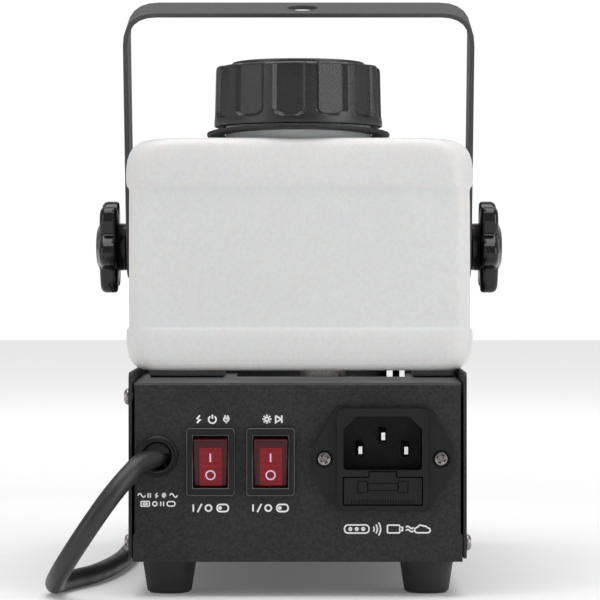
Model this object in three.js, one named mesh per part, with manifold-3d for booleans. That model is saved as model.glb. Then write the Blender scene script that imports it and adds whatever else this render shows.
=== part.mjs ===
// A small fog machine: a sheet-steel housing with a fluid bottle at the back, a hanging yoke with two
// star knobs, a heater and pump inside, and a mains lead. Millimetres, +Z up. The control panel faces -Y
// and the nozzle +Y. Inside the machine group, y is the depth behind the control panel's outer face.
import * as THREE from "three";
import { mergeVertices } from "three/addons/utils/BufferGeometryUtils.js";
import Module from "manifold-3d";

const wasm = await Module();
wasm.setup();

// ---- driving dimensions ----
const SHEET = 1; // thickness of the folded steel
const GAP = 0.3; // between pieces that touch
const DEPTH = 225; // housing, back to front
const SIDE = 52.4; // outer face of each side panel, from the middle
const FLOOR = 11; // underside of the base tray
const PANEL_TOP = 65.9; // top of the control panel
const SHELF = 66.4; // top of the shelf at its fold behind the control panel
const FOLD = 1.3; // depth of that fold
const SHELF_SLOPE = 0.0246;
const ROOF = 141.9; // top of the housing
const RISER = 66; // depth of the wall in front of the bottle
const REARMOST = -3.8; // front face of the socket's bezel
const NOZZLE_TIP = 232.2;
const MIDDLE = (REARMOST + NOZZLE_TIP) / 2;
const TANK = {
  x: 0.5, half: 54.4, back: 5, front: 63.5, bottom: 70.1, top: 142.9, edge: 6.5, corner: 9, wall: 2,
};
const NECK = { y: 35, radius: 23.4, top: 163 };
const CAP = {
  bottom: 147.4, rim: 166.9, top: 168.3, foot: 27, head: 26.5, disc: 21.3, inner: 24.2, flutes: 12,
  hollow: 164.8, // height of its inner ceiling
  first: THREE.MathUtils.degToRad(264.5), // where one flute faces
};
const PIVOT = { y: 85, z: 110 };
const YOKE = { inner: 56.2, thick: 1.5, reach: 81.5, width: 21, bend: 11, hole: 5, holeX: 1.2 };
const YOKE_TILT = THREE.MathUtils.degToRad(15.2);
const KNOB = { radius: 16.2, lobes: 6, hub: 57.95, face: 60.8, rim: 66.6, dome: 68.3 };
const FIRST_LOBE = THREE.MathUtils.degToRad(20); // from straight up, towards the front
const STUD = 4; // radius of the knob's threaded stud
const SWITCHES = { power: -26.95, led: -8.35 };
const SWITCH = { z: 42, wide: 15, high: 21, opening: [10.8, 16.05], front: -2, pivot: 0.4 };
const ROCKER_TILT = THREE.MathUtils.degToRad(12);
const INLET = { x: 26.3, z: 43, screws: 36.1, slot: -9.9 };
const GLAND = { x: -43.4, z: 43.8, radius: 6.5, front: -3.4 };
const FEET = { x: 40.5, back: 18, front: 207, high: FLOOR - GAP };
const NOZZLE_Z = 80;
const HEATER = { half: 30, back: 100, front: 190, bottom: 60, top: 100 };
const PUMP = { x: 0, z: 30, radius: 13, back: 112, front: 166, bore: 4.5 };
const SIDE_SCREWS = {
  left: [
    ["rear_lower", 7, 16.5], ["rear_upper", 5.5, 62], ["front_lower", 216, 16.5], ["front_upper", 216, 134],
  ],
  right: [["rear_lower", 7, 16.5], ["front_lower", 216, 16.5], ["front_upper", 216, 134]],
};
const VENTS = { first: 28.35, pitch: 5.3, count: 4, wide: 2.7, low: 58, high: 102 };
const LEDS = { x: [-20, 0, 20], z: 120, radius: 4.5 };
const CORD = 3.1; // radius of the mains lead
const COIL = { x: -20, y: 284, inner: 27, outer: 47.4, high: 12.7 };
const PLUG = { x: 44, y: 259.5, radius: 18.5, high: 16, pin: 19 };
// The lead's route from the gland to the coil, and from the coil to the plug.
const CORD_ROUTE = [
  [-48.5, -5.9, 41.6], [-52.1, -10.5, 38], [-57.1, -14.5, 31.9], [-62.5, -15.8, 24.3], [-67.8, -13.5, 16.4],
  [-72.4, -7.4, 9.3], [-75.2, 2, 4.5], [-75.3, 14.4, 3.2], [-71.3, 29, 3.15], [-67, 44, 3.15],
  [-63.9, 64, 3.15], [-61.6, 88, 3.15], [-60.5, 115, 3.15], [-60.3, 145, 3.15], [-60.8, 175, 3.15],
  [-61.8, 203, 3.15], [-63, 230, 3.15], [-63.8, 246, 3.15], [-64, 258.8, 3.15],
];
const TAIL_ROUTE = [
  [5.2, 328.2, 9.4], [16.2, 328.2, 9], [26.8, 326.1, 8.4], [35.9, 320.1, 8.1], [41.9, 311, 8], [44, 300.4, 8],
];
// The fluid's way from the bottle to the pump, and from the pump to the heater.
const INTAKE_ROUTE = [[8, 52, 53.6], [8, 53, 46], [7, 60, 36], [4, 76, 31], [0, 96, 30], [0, 111.6, 30]];
const PRESSURE_ROUTE = [[0, 166.4, 30], [1, 173, 31], [6, 181, 37], [9, 182, 47], [10, 181, 59.6]];

// ---- solids ----
function solid(geometry) {
  const bare = new THREE.BufferGeometry();
  const flat = geometry.index ? geometry.toNonIndexed() : geometry;
  bare.setAttribute("position", flat.getAttribute("position").clone());
  const merged = mergeVertices(bare, 1e-4);
  const kept = [];
  for (let i = 0; i < merged.index.count; i += 3) {
    const [a, b, c] = [0, 1, 2].map((k) => merged.index.getX(i + k));
    if (a !== b && b !== c && c !== a) kept.push(a, b, c);
  }
  const triVerts = new Uint32Array(kept);
  return new wasm.Manifold(
    new wasm.Mesh({ numProp: 3, vertProperties: merged.attributes.position.array, triVerts }),
  );
}

function geometryOf(manifold) {
  const mesh = manifold.getMesh();
  const geometry = new THREE.BufferGeometry();
  geometry.setAttribute("position", new THREE.BufferAttribute(mesh.vertProperties, 3));
  geometry.setIndex(new THREE.BufferAttribute(mesh.triVerts, 1));
  geometry.computeVertexNormals();
  return geometry;
}

const join = (first, ...others) => others.reduce((sum, other) => sum.add(other), first);
const cut = (first, ...others) => others.reduce((rest, other) => rest.subtract(other), first);

function block(x0, x1, y0, y1, z0, z1) {
  const geometry = new THREE.BoxGeometry(x1 - x0, y1 - y0, z1 - z0);
  return solid(geometry.translate((x0 + x1) / 2, (y0 + y1) / 2, (z0 + z1) / 2));
}

// A cylinder along an axis, from one coordinate to another; a and b place it across that axis, in X, Y, Z
// order.
function rod(axis, radius, from, to, a, b, segments = 20, endRadius = radius) {
  const geometry = new THREE.CylinderGeometry(endRadius, radius, to - from, segments);
  geometry.translate(0, (from + to) / 2, 0);
  if (axis === "x") geometry.rotateZ(-Math.PI / 2).translate(0, a, b);
  if (axis === "y") geometry.translate(a, 0, b);
  if (axis === "z") geometry.rotateX(Math.PI / 2).translate(a, b, 0);
  return solid(geometry);
}

// A profile of [radius, height] points turned about an upright axis at x, y.
function turned(profile, x, y, segments = 32) {
  const points = profile.map(([r, h]) => new THREE.Vector2(r, h));
  return solid(new THREE.LatheGeometry(points, segments).rotateX(Math.PI / 2).translate(x, y, 0));
}

const extruded = (shape, length, curveSegments = 4) =>
  new THREE.ExtrudeGeometry(shape, { depth: length, bevelEnabled: false, curveSegments });

// A shape drawn in Y and Z, extruded along X; in X and Z, along Y; in X and Y, along Z.
function alongX(shape, x0, x1, curveSegments) {
  const turn = new THREE.Matrix4().makeBasis(
    new THREE.Vector3(0, 1, 0), new THREE.Vector3(0, 0, 1), new THREE.Vector3(1, 0, 0),
  );
  return solid(extruded(shape, x1 - x0, curveSegments).applyMatrix4(turn).translate(x0, 0, 0));
}

function alongY(shape, y0, y1, curveSegments) {
  return solid(extruded(shape, y1 - y0, curveSegments).rotateX(Math.PI / 2).translate(0, y1, 0));
}

function alongZ(shape, z0, z1, curveSegments) {
  return solid(extruded(shape, z1 - z0, curveSegments).translate(0, 0, z0));
}

const outline = (points) => new THREE.Shape(points.map(([u, v]) => new THREE.Vector2(u, v)));

// An outline of [u, v, radius] corners, each rounded by its radius.
function rounded(corners) {
  const shape = new THREE.Shape();
  corners.forEach(([u, v, radius], i) => {
    const here = new THREE.Vector2(u, v);
    const before = new THREE.Vector2(...corners.at(i - 1).slice(0, 2)).sub(here).normalize();
    const after = new THREE.Vector2(...corners[(i + 1) % corners.length].slice(0, 2)).sub(here).normalize();
    const reach = radius / Math.tan(Math.acos(THREE.MathUtils.clamp(before.dot(after), -1, 1)) / 2);
    const start = here.clone().addScaledVector(before, reach);
    const end = here.clone().addScaledVector(after, reach);
    if (i === 0) shape.moveTo(start.x, start.y);
    else shape.lineTo(start.x, start.y);
    if (radius > 0) shape.quadraticCurveTo(u, v, end.x, end.y);
  });
  return shape;
}

const roundedBox = (u, v, halfU, halfV, radius) =>
  rounded([
    [u - halfU, v - halfV, radius], [u + halfU, v - halfV, radius],
    [u + halfU, v + halfV, radius], [u - halfU, v + halfV, radius],
  ]);

// A block with rounded upright corners and rounded top and bottom edges.
function softBlock(halfX, back, front, z0, z1, corner, edge) {
  const inset = roundedBox(0, (back + front) / 2, halfX - edge, (front - back) / 2 - edge, corner - edge);
  const geometry = new THREE.ExtrudeGeometry(inset, {
    depth: z1 - z0 - 2 * edge, bevelThickness: edge, bevelSize: edge, bevelSegments: 3, curveSegments: 2,
  });
  return solid(geometry.translate(0, 0, z0 + edge));
}

// A round tube with flat ends along a smooth curve through the points.
function tube(points, radius, steps, sides = 8) {
  const path = new THREE.CatmullRomCurve3(points.map((p) => new THREE.Vector3(...p)), false, "centripetal");
  const section = new THREE.Shape();
  for (let i = 0; i < sides; i++) {
    const angle = (2 * Math.PI * i) / sides;
    const point = [radius * Math.cos(angle), radius * Math.sin(angle)];
    if (i === 0) section.moveTo(...point);
    else section.lineTo(...point);
  }
  return solid(new THREE.ExtrudeGeometry(section, { steps, extrudePath: path, bevelEnabled: false }));
}

const mirrored = (manifold) => manifold.mirror([1, 0, 0]);

// ---- the assembly ----
const FINISHES = {
  powder_coat: { color: 0x303234, roughness: 0.6, metalness: 0.2 },
  yoke_coat: { color: 0x3a3b3c, roughness: 0.5, metalness: 0.2 },
  bottle_plastic: { color: 0xe6e6e4, roughness: 0.45, metalness: 0 },
  cap_plastic: { color: 0x242526, roughness: 0.5, metalness: 0 },
  knob_plastic: { color: 0x101112, roughness: 0.2, metalness: 0 },
  switch_plastic: { color: 0x222324, roughness: 0.45, metalness: 0 },
  rocker_red: { color: 0x9a1c24, roughness: 0.25, metalness: 0 },
  rubber: { color: 0x2a2b2b, roughness: 0.75, metalness: 0 },
  zinc_steel: { color: 0xb4b6b8, roughness: 0.35, metalness: 0.9 },
  dark_steel: { color: 0x4a4a4a, roughness: 0.4, metalness: 0.8 },
  brass: { color: 0xb59a55, roughness: 0.3, metalness: 0.9 },
  aluminium: { color: 0xa9abad, roughness: 0.45, metalness: 0.9 },
  hose: { color: 0xd8d4c6, roughness: 0.35, metalness: 0 },
  board: { color: 0x1f5a33, roughness: 0.5, metalness: 0 },
  lens: { color: 0xf2f4f6, roughness: 0.1, metalness: 0 },
  glass: { color: 0xdfe6e8, roughness: 0.05, metalness: 0 },
  foam: { color: 0x3a3a3a, roughness: 0.95, metalness: 0 },
};

const machine = new THREE.Group();
machine.position.y = -MIDDLE;

function add(name, manifold, finish, parent = machine) {
  const mesh = new THREE.Mesh(geometryOf(manifold), new THREE.MeshStandardMaterial(FINISHES[finish]));
  mesh.name = name;
  parent.add(mesh);
  return mesh;
}

// ---- sheet-steel housing ----
const shelfTop = (y) => SHELF + SHELF_SLOPE * (y - FOLD);
const INSIDE = SIDE - SHEET;

function sideHoles(side, x0, x1) {
  const [low, high] = side === "left" ? [-x1, -x0] : [x0, x1];
  return SIDE_SCREWS[side].map(([, y, z]) => rod("x", 1.75, low, high, y, z, 12));
}

function baseTray() {
  const low = FLOOR + 8.5;
  const half = 50.5;
  const wide = INSIDE - GAP;
  const bottom = block(-wide, wide, 0, DEPTH - 1.5, FLOOR, FLOOR + SHEET);
  const skirt = block(-wide, wide, 0, SHEET, FLOOR, low);
  const face = rounded([
    [-half, low - 1, 0], [half, low - 1, 0], [half, PANEL_TOP, 1.2], [-half, PANEL_TOP, 1.2],
  ]);
  const panel = alongY(face, 0, SHEET, 2);
  const flange = (x) => block(x, x + SHEET, SHEET - 0.2, 10, low + 0.5, PANEL_TOP - 1.5);
  const rail = (x) => block(x, x + SHEET, 0, DEPTH - 1.5, FLOOR, low);
  const folded = join(
    bottom, skirt, panel, flange(-half), flange(half - SHEET), rail(-wide), rail(wide - SHEET),
  );
  const cutouts = [
    ...Object.values(SWITCHES).map((x) => block(x - 6.8, x + 6.8, -1, 2, SWITCH.z - 9.8, SWITCH.z + 9.8)),
    block(INLET.x - 13.8, INLET.x + 13.8, -1, 2, INLET.z - 15.3, INLET.z + 15.3),
    rod("y", 1.8, -1, 2, INLET.x - INLET.screws / 2, INLET.z, 12),
    rod("y", 1.8, -1, 2, INLET.x + INLET.screws / 2, INLET.z, 12),
    rod("y", 5.6, -1, 2, GLAND.x, GLAND.z),
    ...sideHoles("left", half - 2, wide + 1),
    ...sideHoles("right", half - 2, wide + 1),
  ];
  return cut(folded, ...cutouts);
}

function sidePanel(side) {
  const step = RISER - 1.5;
  const shape = rounded([
    [0.2, FLOOR + 0.9, 1.5], [DEPTH + 0.2, FLOOR + 0.9, 1.5], [DEPTH + 0.2, ROOF + GAP, 4],
    [step, ROOF + GAP, 3], [step, 70.4, 2], [0.2, 69.6, 2.5],
  ]);
  const panel = alongX(shape, INSIDE, SIDE, 3);
  const pivotHole = rod("x", STUD + 0.4, INSIDE - 1, SIDE + 1, PIVOT.y, PIVOT.z, 16);
  const drilled = cut(side === "left" ? mirrored(cut(panel, pivotHole)) : cut(panel, pivotHole));
  return cut(drilled, ...sideHoles(side, INSIDE - 1, SIDE + 1));
}

// The shelf folds down behind the control panel; the fold is narrower below, between the panel's flanges.
function deckCover() {
  const half = INSIDE - 0.5;
  const under = (y) => shelfTop(y) - SHEET;
  const profile = outline([
    [FOLD, shelfTop(FOLD)], [FOLD, PANEL_TOP - 1.2], [FOLD + SHEET, PANEL_TOP - 1.2],
    [FOLD + SHEET, under(FOLD + SHEET)], [RISER + SHEET, under(RISER)], [RISER + SHEET, ROOF - SHEET],
    [DEPTH, ROOF - SHEET], [DEPTH, ROOF], [RISER, ROOF], [RISER, shelfTop(RISER)],
  ]);
  const hem = block(-48.9, 48.9, FOLD, FOLD + SHEET, 60, PANEL_TOP - 1);
  const hoseWindow = block(-20, 35, 41, RISER + 2, 60, 76);
  return cut(join(alongX(profile, -half, half), hem), hoseWindow);
}

function frontPanel() {
  const half = INSIDE - 0.5;
  const [low, high] = [FLOOR + SHEET + GAP, ROOF - SHEET - GAP];
  const plate = block(-half, half, DEPTH - SHEET, DEPTH, low, high);
  const flange = (x) => block(x, x + SHEET, DEPTH - 15, DEPTH - 0.5, FLOOR + 9, high);
  const slots = [];
  for (let i = 0; i < VENTS.count; i++) {
    const x = VENTS.first + i * VENTS.pitch;
    slots.push(block(x - VENTS.wide / 2, x + VENTS.wide / 2, DEPTH - 3, DEPTH + 1, VENTS.low, VENTS.high));
  }
  const lamps = LEDS.x.map((x) => rod("y", LEDS.radius + GAP, DEPTH - 3, DEPTH + 1, x, LEDS.z));
  return cut(
    join(plate, flange(-half), flange(half - SHEET)), ...slots, ...slots.map(mirrored), ...lamps,
    rod("y", 8, DEPTH - 3, DEPTH + 1, 0, NOZZLE_Z, 24),
    ...sideHoles("left", half - 2, half + 1), ...sideHoles("right", half - 2, half + 1),
  );
}

function foot(x, y) {
  return turned([[0, 6], [3.2, 6], [3.2, 0], [6.4, 0], [7, 0.6], [8.7, FEET.high], [0, FEET.high]], x, y, 24);
}

function sideScrew(side, y, z) {
  const head = rod("x", 2.6, SIDE + GAP, SIDE + 1.1, y, z, 16);
  const crown = rod("x", 2.6, SIDE + 1.1, SIDE + 1.8, y, z, 16, 1.6);
  const shank = rod("x", 1.4, 46, SIDE + 0.5, y, z, 10);
  const screw = join(head, crown, shank);
  return side === "left" ? mirrored(screw) : screw;
}

add("base_tray", baseTray(), "powder_coat");
add("deck_cover", deckCover(), "powder_coat");
add("front_panel", frontPanel(), "powder_coat");
for (const side of ["left", "right"]) {
  add(side + "_side_panel", sidePanel(side), "powder_coat");
  for (const [name, y, z] of SIDE_SCREWS[side]) {
    add(`${side}_${name}_screw`, sideScrew(side, y, z), "dark_steel");
  }
  for (const end of ["back", "front"]) {
    const x = side === "left" ? -FEET.x : FEET.x;
    add(`${side}_${end}_foot`, foot(x, FEET[end]), "rubber");
  }
}

// ---- bottle, its bracket and its cap ----
function tank() {
  const { x, half, back, front, bottom, top, edge, corner, wall } = TANK;
  const body = softBlock(half, back, front, bottom, top, corner, edge);
  const waist = 0.9; // the middle of the bottle is this much narrower than its ends
  const band = block(-80, 80, 0, 80, 82.5, 127);
  const middle = softBlock(half - waist, back + waist / 2, front - waist / 2, bottom, top, corner, edge);
  const inner = softBlock(
    half - waist - wall, back + wall, front - wall, bottom + wall, top - wall, corner - wall, edge - wall,
  );
  const shell = cut(join(cut(body, band), middle), inner).translate([x, 0, 0]);
  const neck = rod("z", NECK.radius, top - 3, NECK.top, 0, NECK.y, 32);
  const mouth = rod("z", NECK.radius - wall, top - 4, NECK.top + 1, 0, NECK.y, 32);
  const drain = rod("z", 4, bottom - 1, bottom + 4, 8, 52, 12);
  return cut(join(shell, neck), mouth, drain);
}

function tankOutlet() {
  const profile = [
    [0, 54], [2.6, 54], [3.4, 56.5], [2.8, 57], [2.8, 66], [8, 66], [8, 69.8], [3.6, 69.8], [3.6, 74],
    [0, 74],
  ];
  return turned(profile, 8, 52, 16);
}

function tankPad(x0, x1) {
  const [back, front] = [38, 60];
  const top = TANK.bottom - GAP;
  const side = [[back, shelfTop(back) + GAP], [front, shelfTop(front) + GAP], [front, top], [back, top]];
  return alongX(outline(side), x0, x1);
}

// The ring round the bottle's neck leans up towards the back, and its tongue ends flat on the roof.
function neckBracket() {
  const lean = Math.tan(THREE.MathUtils.degToRad(2.6));
  const thick = 1.2;
  const middle = 145; // height of the sheet at the neck's axis
  const z = (y) => middle - lean * (y - NECK.y);
  const flat = ROOF + GAP + thick / 2;
  const bend = NECK.y + (middle - flat) / lean;
  const plan = new THREE.Shape();
  const tongue = 12;
  const joinAngle = Math.asin(tongue / 29.3);
  plan.absarc(0, NECK.y, 29.3, Math.PI / 2 + joinAngle, Math.PI / 2 - joinAngle + 2 * Math.PI, false);
  plan.lineTo(tongue, 100);
  plan.lineTo(-tongue, 100);
  const hole = new THREE.Path();
  hole.absarc(0, NECK.y, 24.2, 0, 2 * Math.PI, true);
  plan.holes.push(hole);
  const side = outline([
    [0, z(0) - thick / 2], [bend, flat - thick / 2], [110, flat - thick / 2],
    [110, flat + thick / 2], [bend, flat + thick / 2], [0, z(0) + thick / 2],
  ]);
  return alongZ(plan, 130, 160, 16).intersect(alongX(side, -40, 40));
}

function cap() {
  const { bottom, rim, top, foot: footRadius, head, disc, inner, hollow, flutes, first } = CAP;
  const shell = turned([
    [inner, bottom], [footRadius, bottom], [footRadius, bottom + 2.2], [head, rim - 0.8], [head - 0.8, rim],
    [disc + 0.8, rim], [disc, rim + 0.8], [disc - 0.6, top], [0, top], [0, hollow], [inner, hollow],
    [inner, bottom],
  ], 0, NECK.y, 48);
  const cutters = [];
  for (let i = 0; i < flutes; i++) {
    const angle = first + (i * 2 * Math.PI) / flutes;
    const reach = 33.4;
    const [x, y] = [reach * Math.cos(angle), NECK.y + reach * Math.sin(angle)];
    cutters.push(rod("z", 8.6, bottom + 2.5, top, x, y, 24));
  }
  return cut(shell, ...cutters);
}

add("tank", tank(), "bottle_plastic");
add("tank_outlet", tankOutlet(), "brass");
add("left_tank_pad", tankPad(-48, -24), "foam");
add("right_tank_pad", tankPad(37, 50), "foam");
add("neck_bracket", neckBracket(), "powder_coat");
add("cap_seal", rod("z", 23.6, NECK.top + GAP, CAP.hollow - GAP, 0, NECK.y, 32), "foam");
add("tank_cap", cap(), "cap_plastic");

// ---- hanging yoke and its knobs ----
function yoke() {
  const { inner, thick, reach, width, bend } = YOKE;
  const half = width / 2;
  const out = inner + thick;
  const arch = (x, top, radius) =>
    rounded([[-x, -half - 5, 0], [x, -half - 5, 0], [x, top, radius], [-x, top, radius]]);
  const strip = cut(
    alongY(arch(out, reach, bend), -half, half, 6),
    alongY(arch(inner, reach - thick, bend - thick), -30, 30, 6),
  );
  const side = new THREE.Shape();
  side.absarc(0, 0, half, Math.PI, 2 * Math.PI, false);
  side.lineTo(half, 100);
  side.lineTo(-half, 100);
  return cut(
    strip.intersect(alongX(side, -80, 80, 8)),
    rod("x", STUD + 0.3, -80, 80, 0, 0, 16), rod("z", YOKE.hole, 60, 100, YOKE.holeX, 0, 20),
  );
}

function knob() {
  const { radius, lobes, hub, face, rim, dome } = KNOB;
  const star = new THREE.Shape();
  const points = 72;
  for (let i = 0; i < points; i++) {
    const angle = (2 * Math.PI * i) / points;
    const wave = Math.cos(lobes * (angle - FIRST_LOBE));
    const r = radius - 1.75 * (1 - wave) ** 1.2;
    const point = [r * Math.sin(angle), r * Math.cos(angle)];
    if (i === 0) star.moveTo(...point);
    else star.lineTo(...point);
  }
  const crown = rod("x", 12, rim - 0.5, dome, 0, 0, 24, 6);
  const boss = rod("x", 8, hub, face + 1, 0, 0, 24);
  return cut(join(alongX(star, face, rim), crown, boss), rod("x", STUD + GAP, hub - 1, 63, 0, 0, 16));
}

function hexNut(x0, x1) {
  const nut = rod("x", 7.5, x0, x1, 0, 0, 6);
  return cut(nut, rod("x", STUD + 0.3, x0 - 1, x1 + 1, 0, 0, 16));
}

const pivots = new THREE.Group();
pivots.position.set(0, PIVOT.y, PIVOT.z);
machine.add(pivots);
add("yoke", yoke(), "yoke_coat", pivots).rotation.x = YOKE_TILT;
const washer = rod("x", 9, SIDE + GAP, YOKE.inner - GAP, 0, 0, 24);
const pivotPieces = {
  knob: [knob(), "knob_plastic"],
  knob_stud: [rod("x", STUD, 43.5, 62.6, 0, 0, 16), "zinc_steel"],
  pivot_washer: [cut(washer, rod("x", STUD + 0.4, 50, 60, 0, 0, 16)), "zinc_steel"],
  pivot_nut: [hexNut(44.5, INSIDE - GAP), "zinc_steel"],
};
for (const [name, [piece, finish]] of Object.entries(pivotPieces)) {
  add("left_" + name, mirrored(piece), finish, pivots);
  add("right_" + name, piece, finish, pivots);
}

// ---- rocker switches ----
function switchBody(x) {
  const [openX, openZ] = SWITCH.opening;
  const bezel = alongY(roundedBox(x, SWITCH.z, SWITCH.wide / 2, SWITCH.high / 2, 1), SWITCH.front, -GAP, 2);
  const body = block(x - 6.5, x + 6.5, -1, 15, SWITCH.z - 9.5, SWITCH.z + 9.5);
  const [low, high] = [SWITCH.z - openZ / 2, SWITCH.z + openZ / 2];
  const well = block(x - openX / 2, x + openX / 2, SWITCH.front - 1, 9.5, low, high);
  const tab = (z) => block(x - 3.2, x + 3.2, 14.5, 23, z - 0.4, z + 0.4);
  return join(cut(join(bezel, body), well), tab(SWITCH.z - 6), tab(SWITCH.z), tab(SWITCH.z + 6));
}

// Its ends are round about the pivot, so that it can tip inside its opening.
function rocker() {
  const [depth, reach, chamfer] = [2.6, 7.1, 0.9];
  const half = SWITCH.opening[0] / 2 - 0.35;
  const radius = Math.hypot(reach, depth - chamfer);
  const end = Math.atan2(reach, -depth + chamfer);
  const profile = new THREE.Shape();
  profile.moveTo(-depth + chamfer, -reach);
  profile.absarc(0, 0, radius, -end, -Math.PI / 6, false);
  profile.lineTo(3.5, -2);
  profile.lineTo(3.5, 2);
  profile.absarc(0, 0, radius, Math.PI / 6, end, false);
  profile.lineTo(-depth, reach - chamfer);
  profile.lineTo(-depth + 0.25, 0);
  profile.lineTo(-depth, -reach + chamfer);
  return alongX(profile, -half, half, 4);
}

for (const [name, x] of Object.entries(SWITCHES)) {
  add(name + "_switch_body", switchBody(x), "switch_plastic");
  const tipped = add(name + "_rocker", rocker(), "rocker_red");
  tipped.position.set(x, SWITCH.pivot, SWITCH.z);
  tipped.rotation.x = ROCKER_TILT;
}

// ---- three-pin socket with its fuse drawer ----
function inletBody() {
  const { x, z, slot } = INLET;
  const ear = 3.5;
  const flange = alongY(rounded([
    [x - 14.2, z - 16.1, 1.5], [x + 14.2, z - 16.1, 1.5], [x + 21.75, z - ear, 2], [x + 21.75, z + ear, 2],
    [x + 14.2, z + 16.1, 1.5], [x - 14.2, z + 16.1, 1.5], [x - 21.75, z + ear, 2], [x - 21.75, z - ear, 2],
  ]), -2.2, -GAP, 2);
  const bezel = alongY(roundedBox(x, z, 14.1, 15.6, 2.2), REARMOST, -2, 2);
  const shell = block(x - 13.4, x + 13.4, -1, 22, z - 15, z + 15);
  const low = z - 3.4;
  const top = z + 13.2;
  const cavity = alongY(rounded([
    [x - 12.15, low, 1], [x + 12.15, low, 1], [x + 12.15, top - 4, 0.5], [x + 8.15, top, 0.5],
    [x - 8.15, top, 0.5], [x - 12.15, top - 4, 0.5],
  ]), REARMOST - 1, 13, 2);
  const drawerSlot = block(x - 12.4, x + 12.4, REARMOST - 1, 20, z + slot - 4.5, z + slot + 4.5);
  const tabNotch = block(x - 4.5, x + 4.5, REARMOST - 1, -1, z + slot + 4, z + slot + 6.3);
  const holes = [-1, 1].map((s) => rod("y", 1.8, -3, 0, x + (s * INLET.screws) / 2, z, 12));
  const sinks = [-1, 1].map((s) => rod("y", 2.9, -3, -1.1, x + (s * INLET.screws) / 2, z, 16));
  const passages = PINS.map(([, dx, dz]) => pinBlock(dx, dz, 12, 23, GAP));
  return cut(join(flange, bezel, shell), cavity, drawerSlot, tabNotch, ...holes, ...sinks, ...passages);
}

// Each pin is 2 by 4 mm, at an offset from the socket's middle; room makes it larger, for its passage.
const PINS = [["earth", 0.2, 6.9], ["line", -6.9, 2.6], ["neutral", 7.3, 2.5]];

function pinBlock(dx, dz, y0, y1, room = 0) {
  const [x, z, halfX, halfZ] = [INLET.x + dx, INLET.z + dz, 1 + room, 2 + room];
  return block(x - halfX, x + halfX, y0, y1, z - halfZ, z + halfZ);
}

function fuseDrawer() {
  const { x, z, slot } = INLET;
  const face = block(x - 12.1, x + 12.1, REARMOST + 0.6, -1.2, z + slot - 4.2, z + slot + 4.2);
  const tab = block(x - 4.2, x + 4.2, REARMOST + 0.6, -1.6, z + slot + 4, z + slot + 6);
  const tray = block(x - 11.5, x + 11.5, -1.5, 18, z + slot - 3.9, z + slot + 3.9);
  const cradle = block(x - 10.6, x + 10.6, 4, 11, z + slot - 2.9, z + slot + 5);
  return cut(join(face, tab, tray), cradle);
}

add("inlet_body", inletBody(), "switch_plastic");
for (const [name, dx, dz] of PINS) add(`inlet_${name}_pin`, pinBlock(dx, dz, -0.5, 28), "zinc_steel");
add("fuse_drawer", fuseDrawer(), "switch_plastic");
add("fuse", rod("x", 2.5, INLET.x - 10, INLET.x + 10, 7.5, INLET.z + INLET.slot, 16), "glass");
for (const [name, sign] of [["left", -1], ["right", 1]]) {
  const x = INLET.x + (sign * INLET.screws) / 2;
  const screw = join(rod("y", 2.35, -2.6, -1.4, x, INLET.z, 16), rod("y", 1.4, -1.5, 8, x, INLET.z, 10));
  add(`inlet_${name}_screw`, screw, "zinc_steel");
}

// ---- cable gland, mains lead and plug ----
function cableGland() {
  const { x, z, radius, front } = GLAND;
  const flange = rod("y", radius, -1.6, -GAP, x, z, 28);
  const collar = rod("y", radius - 0.6, front, -1.5, x, z, 28, radius);
  const body = rod("y", 5.2, -0.5, 9, x, z, 20);
  return cut(join(flange, collar, body), block(x - 3.7, x + 3.7, front - 1, 10, z - 3.9, z + 3.5));
}

function plug() {
  const { x, y, radius, high, pin } = PLUG;
  const disc = turned([[0, 0.1], [radius - 2, 0.1], [radius, 2], [radius, high], [0, high]], x, y, 28);
  const body = disc.intersect(block(x - radius + 1.5, x + radius - 1.5, y - 30, y + 30, -1, 40));
  const relief = rod("y", 6.5, y + radius - 3, 299.6, x, 8, 16, 3.6);
  const pins = [-1, 1].map((side) => rod("z", 2.4, high - 1, high + pin, x + (side * pin) / 2, y, 12));
  return join(body, relief, ...pins);
}

const { inner, outer, high } = COIL;
const ring = [[inner, 0], [outer, 0], [outer, high], [inner, high], [inner, 0]];
add("cable_gland", cableGland(), "switch_plastic");
add("mains_cord", tube(CORD_ROUTE, CORD, 34), "rubber");
add("mains_cord_coil", turned(ring, COIL.x, COIL.y, 32), "rubber");
add("mains_cord_tail", tube(TAIL_ROUTE, CORD, 8), "rubber");
add("mains_plug", plug(), "rubber");

// ---- heater, nozzle, pump and electronics ----
function heaterBlock() {
  const { half, back, front, bottom, top } = HEATER;
  const casting = softBlock(half, back, front, bottom, top, 6, 3);
  const legs = [-22, 22].flatMap((x) =>
    [back + 14, front - 14].map((y) => rod("z", 3, FLOOR + SHEET + GAP, bottom + 2, x, y, 10)),
  );
  return join(casting, ...legs);
}

function nozzle() {
  const profile = [
    [0, HEATER.front + GAP], [8, HEATER.front + GAP], [8, 196], [5.2, 196], [5.2, 224], [6.4, 225.5],
    [6.4, 229], [4.4, NOZZLE_TIP], [1, NOZZLE_TIP], [1, 200], [0, 200],
  ];
  const points = profile.map(([r, y]) => new THREE.Vector2(r, y));
  return solid(new THREE.LatheGeometry(points, 20).translate(0, 0, NOZZLE_Z));
}

function ledLens(x) {
  const r = LEDS.radius;
  const profile = [
    [0, DEPTH - 8], [3, DEPTH - 8], [3, DEPTH - 3.5], [6, DEPTH - 3.5], [6, DEPTH - 1.4], [r, DEPTH - 1.4],
    [r, DEPTH + 0.5], [r * 0.75, DEPTH + 2], [0, DEPTH + 2.8],
  ];
  const points = profile.map(([radius, y]) => new THREE.Vector2(radius, y));
  return solid(new THREE.LatheGeometry(points, 16).translate(x, 0, LEDS.z));
}

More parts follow.
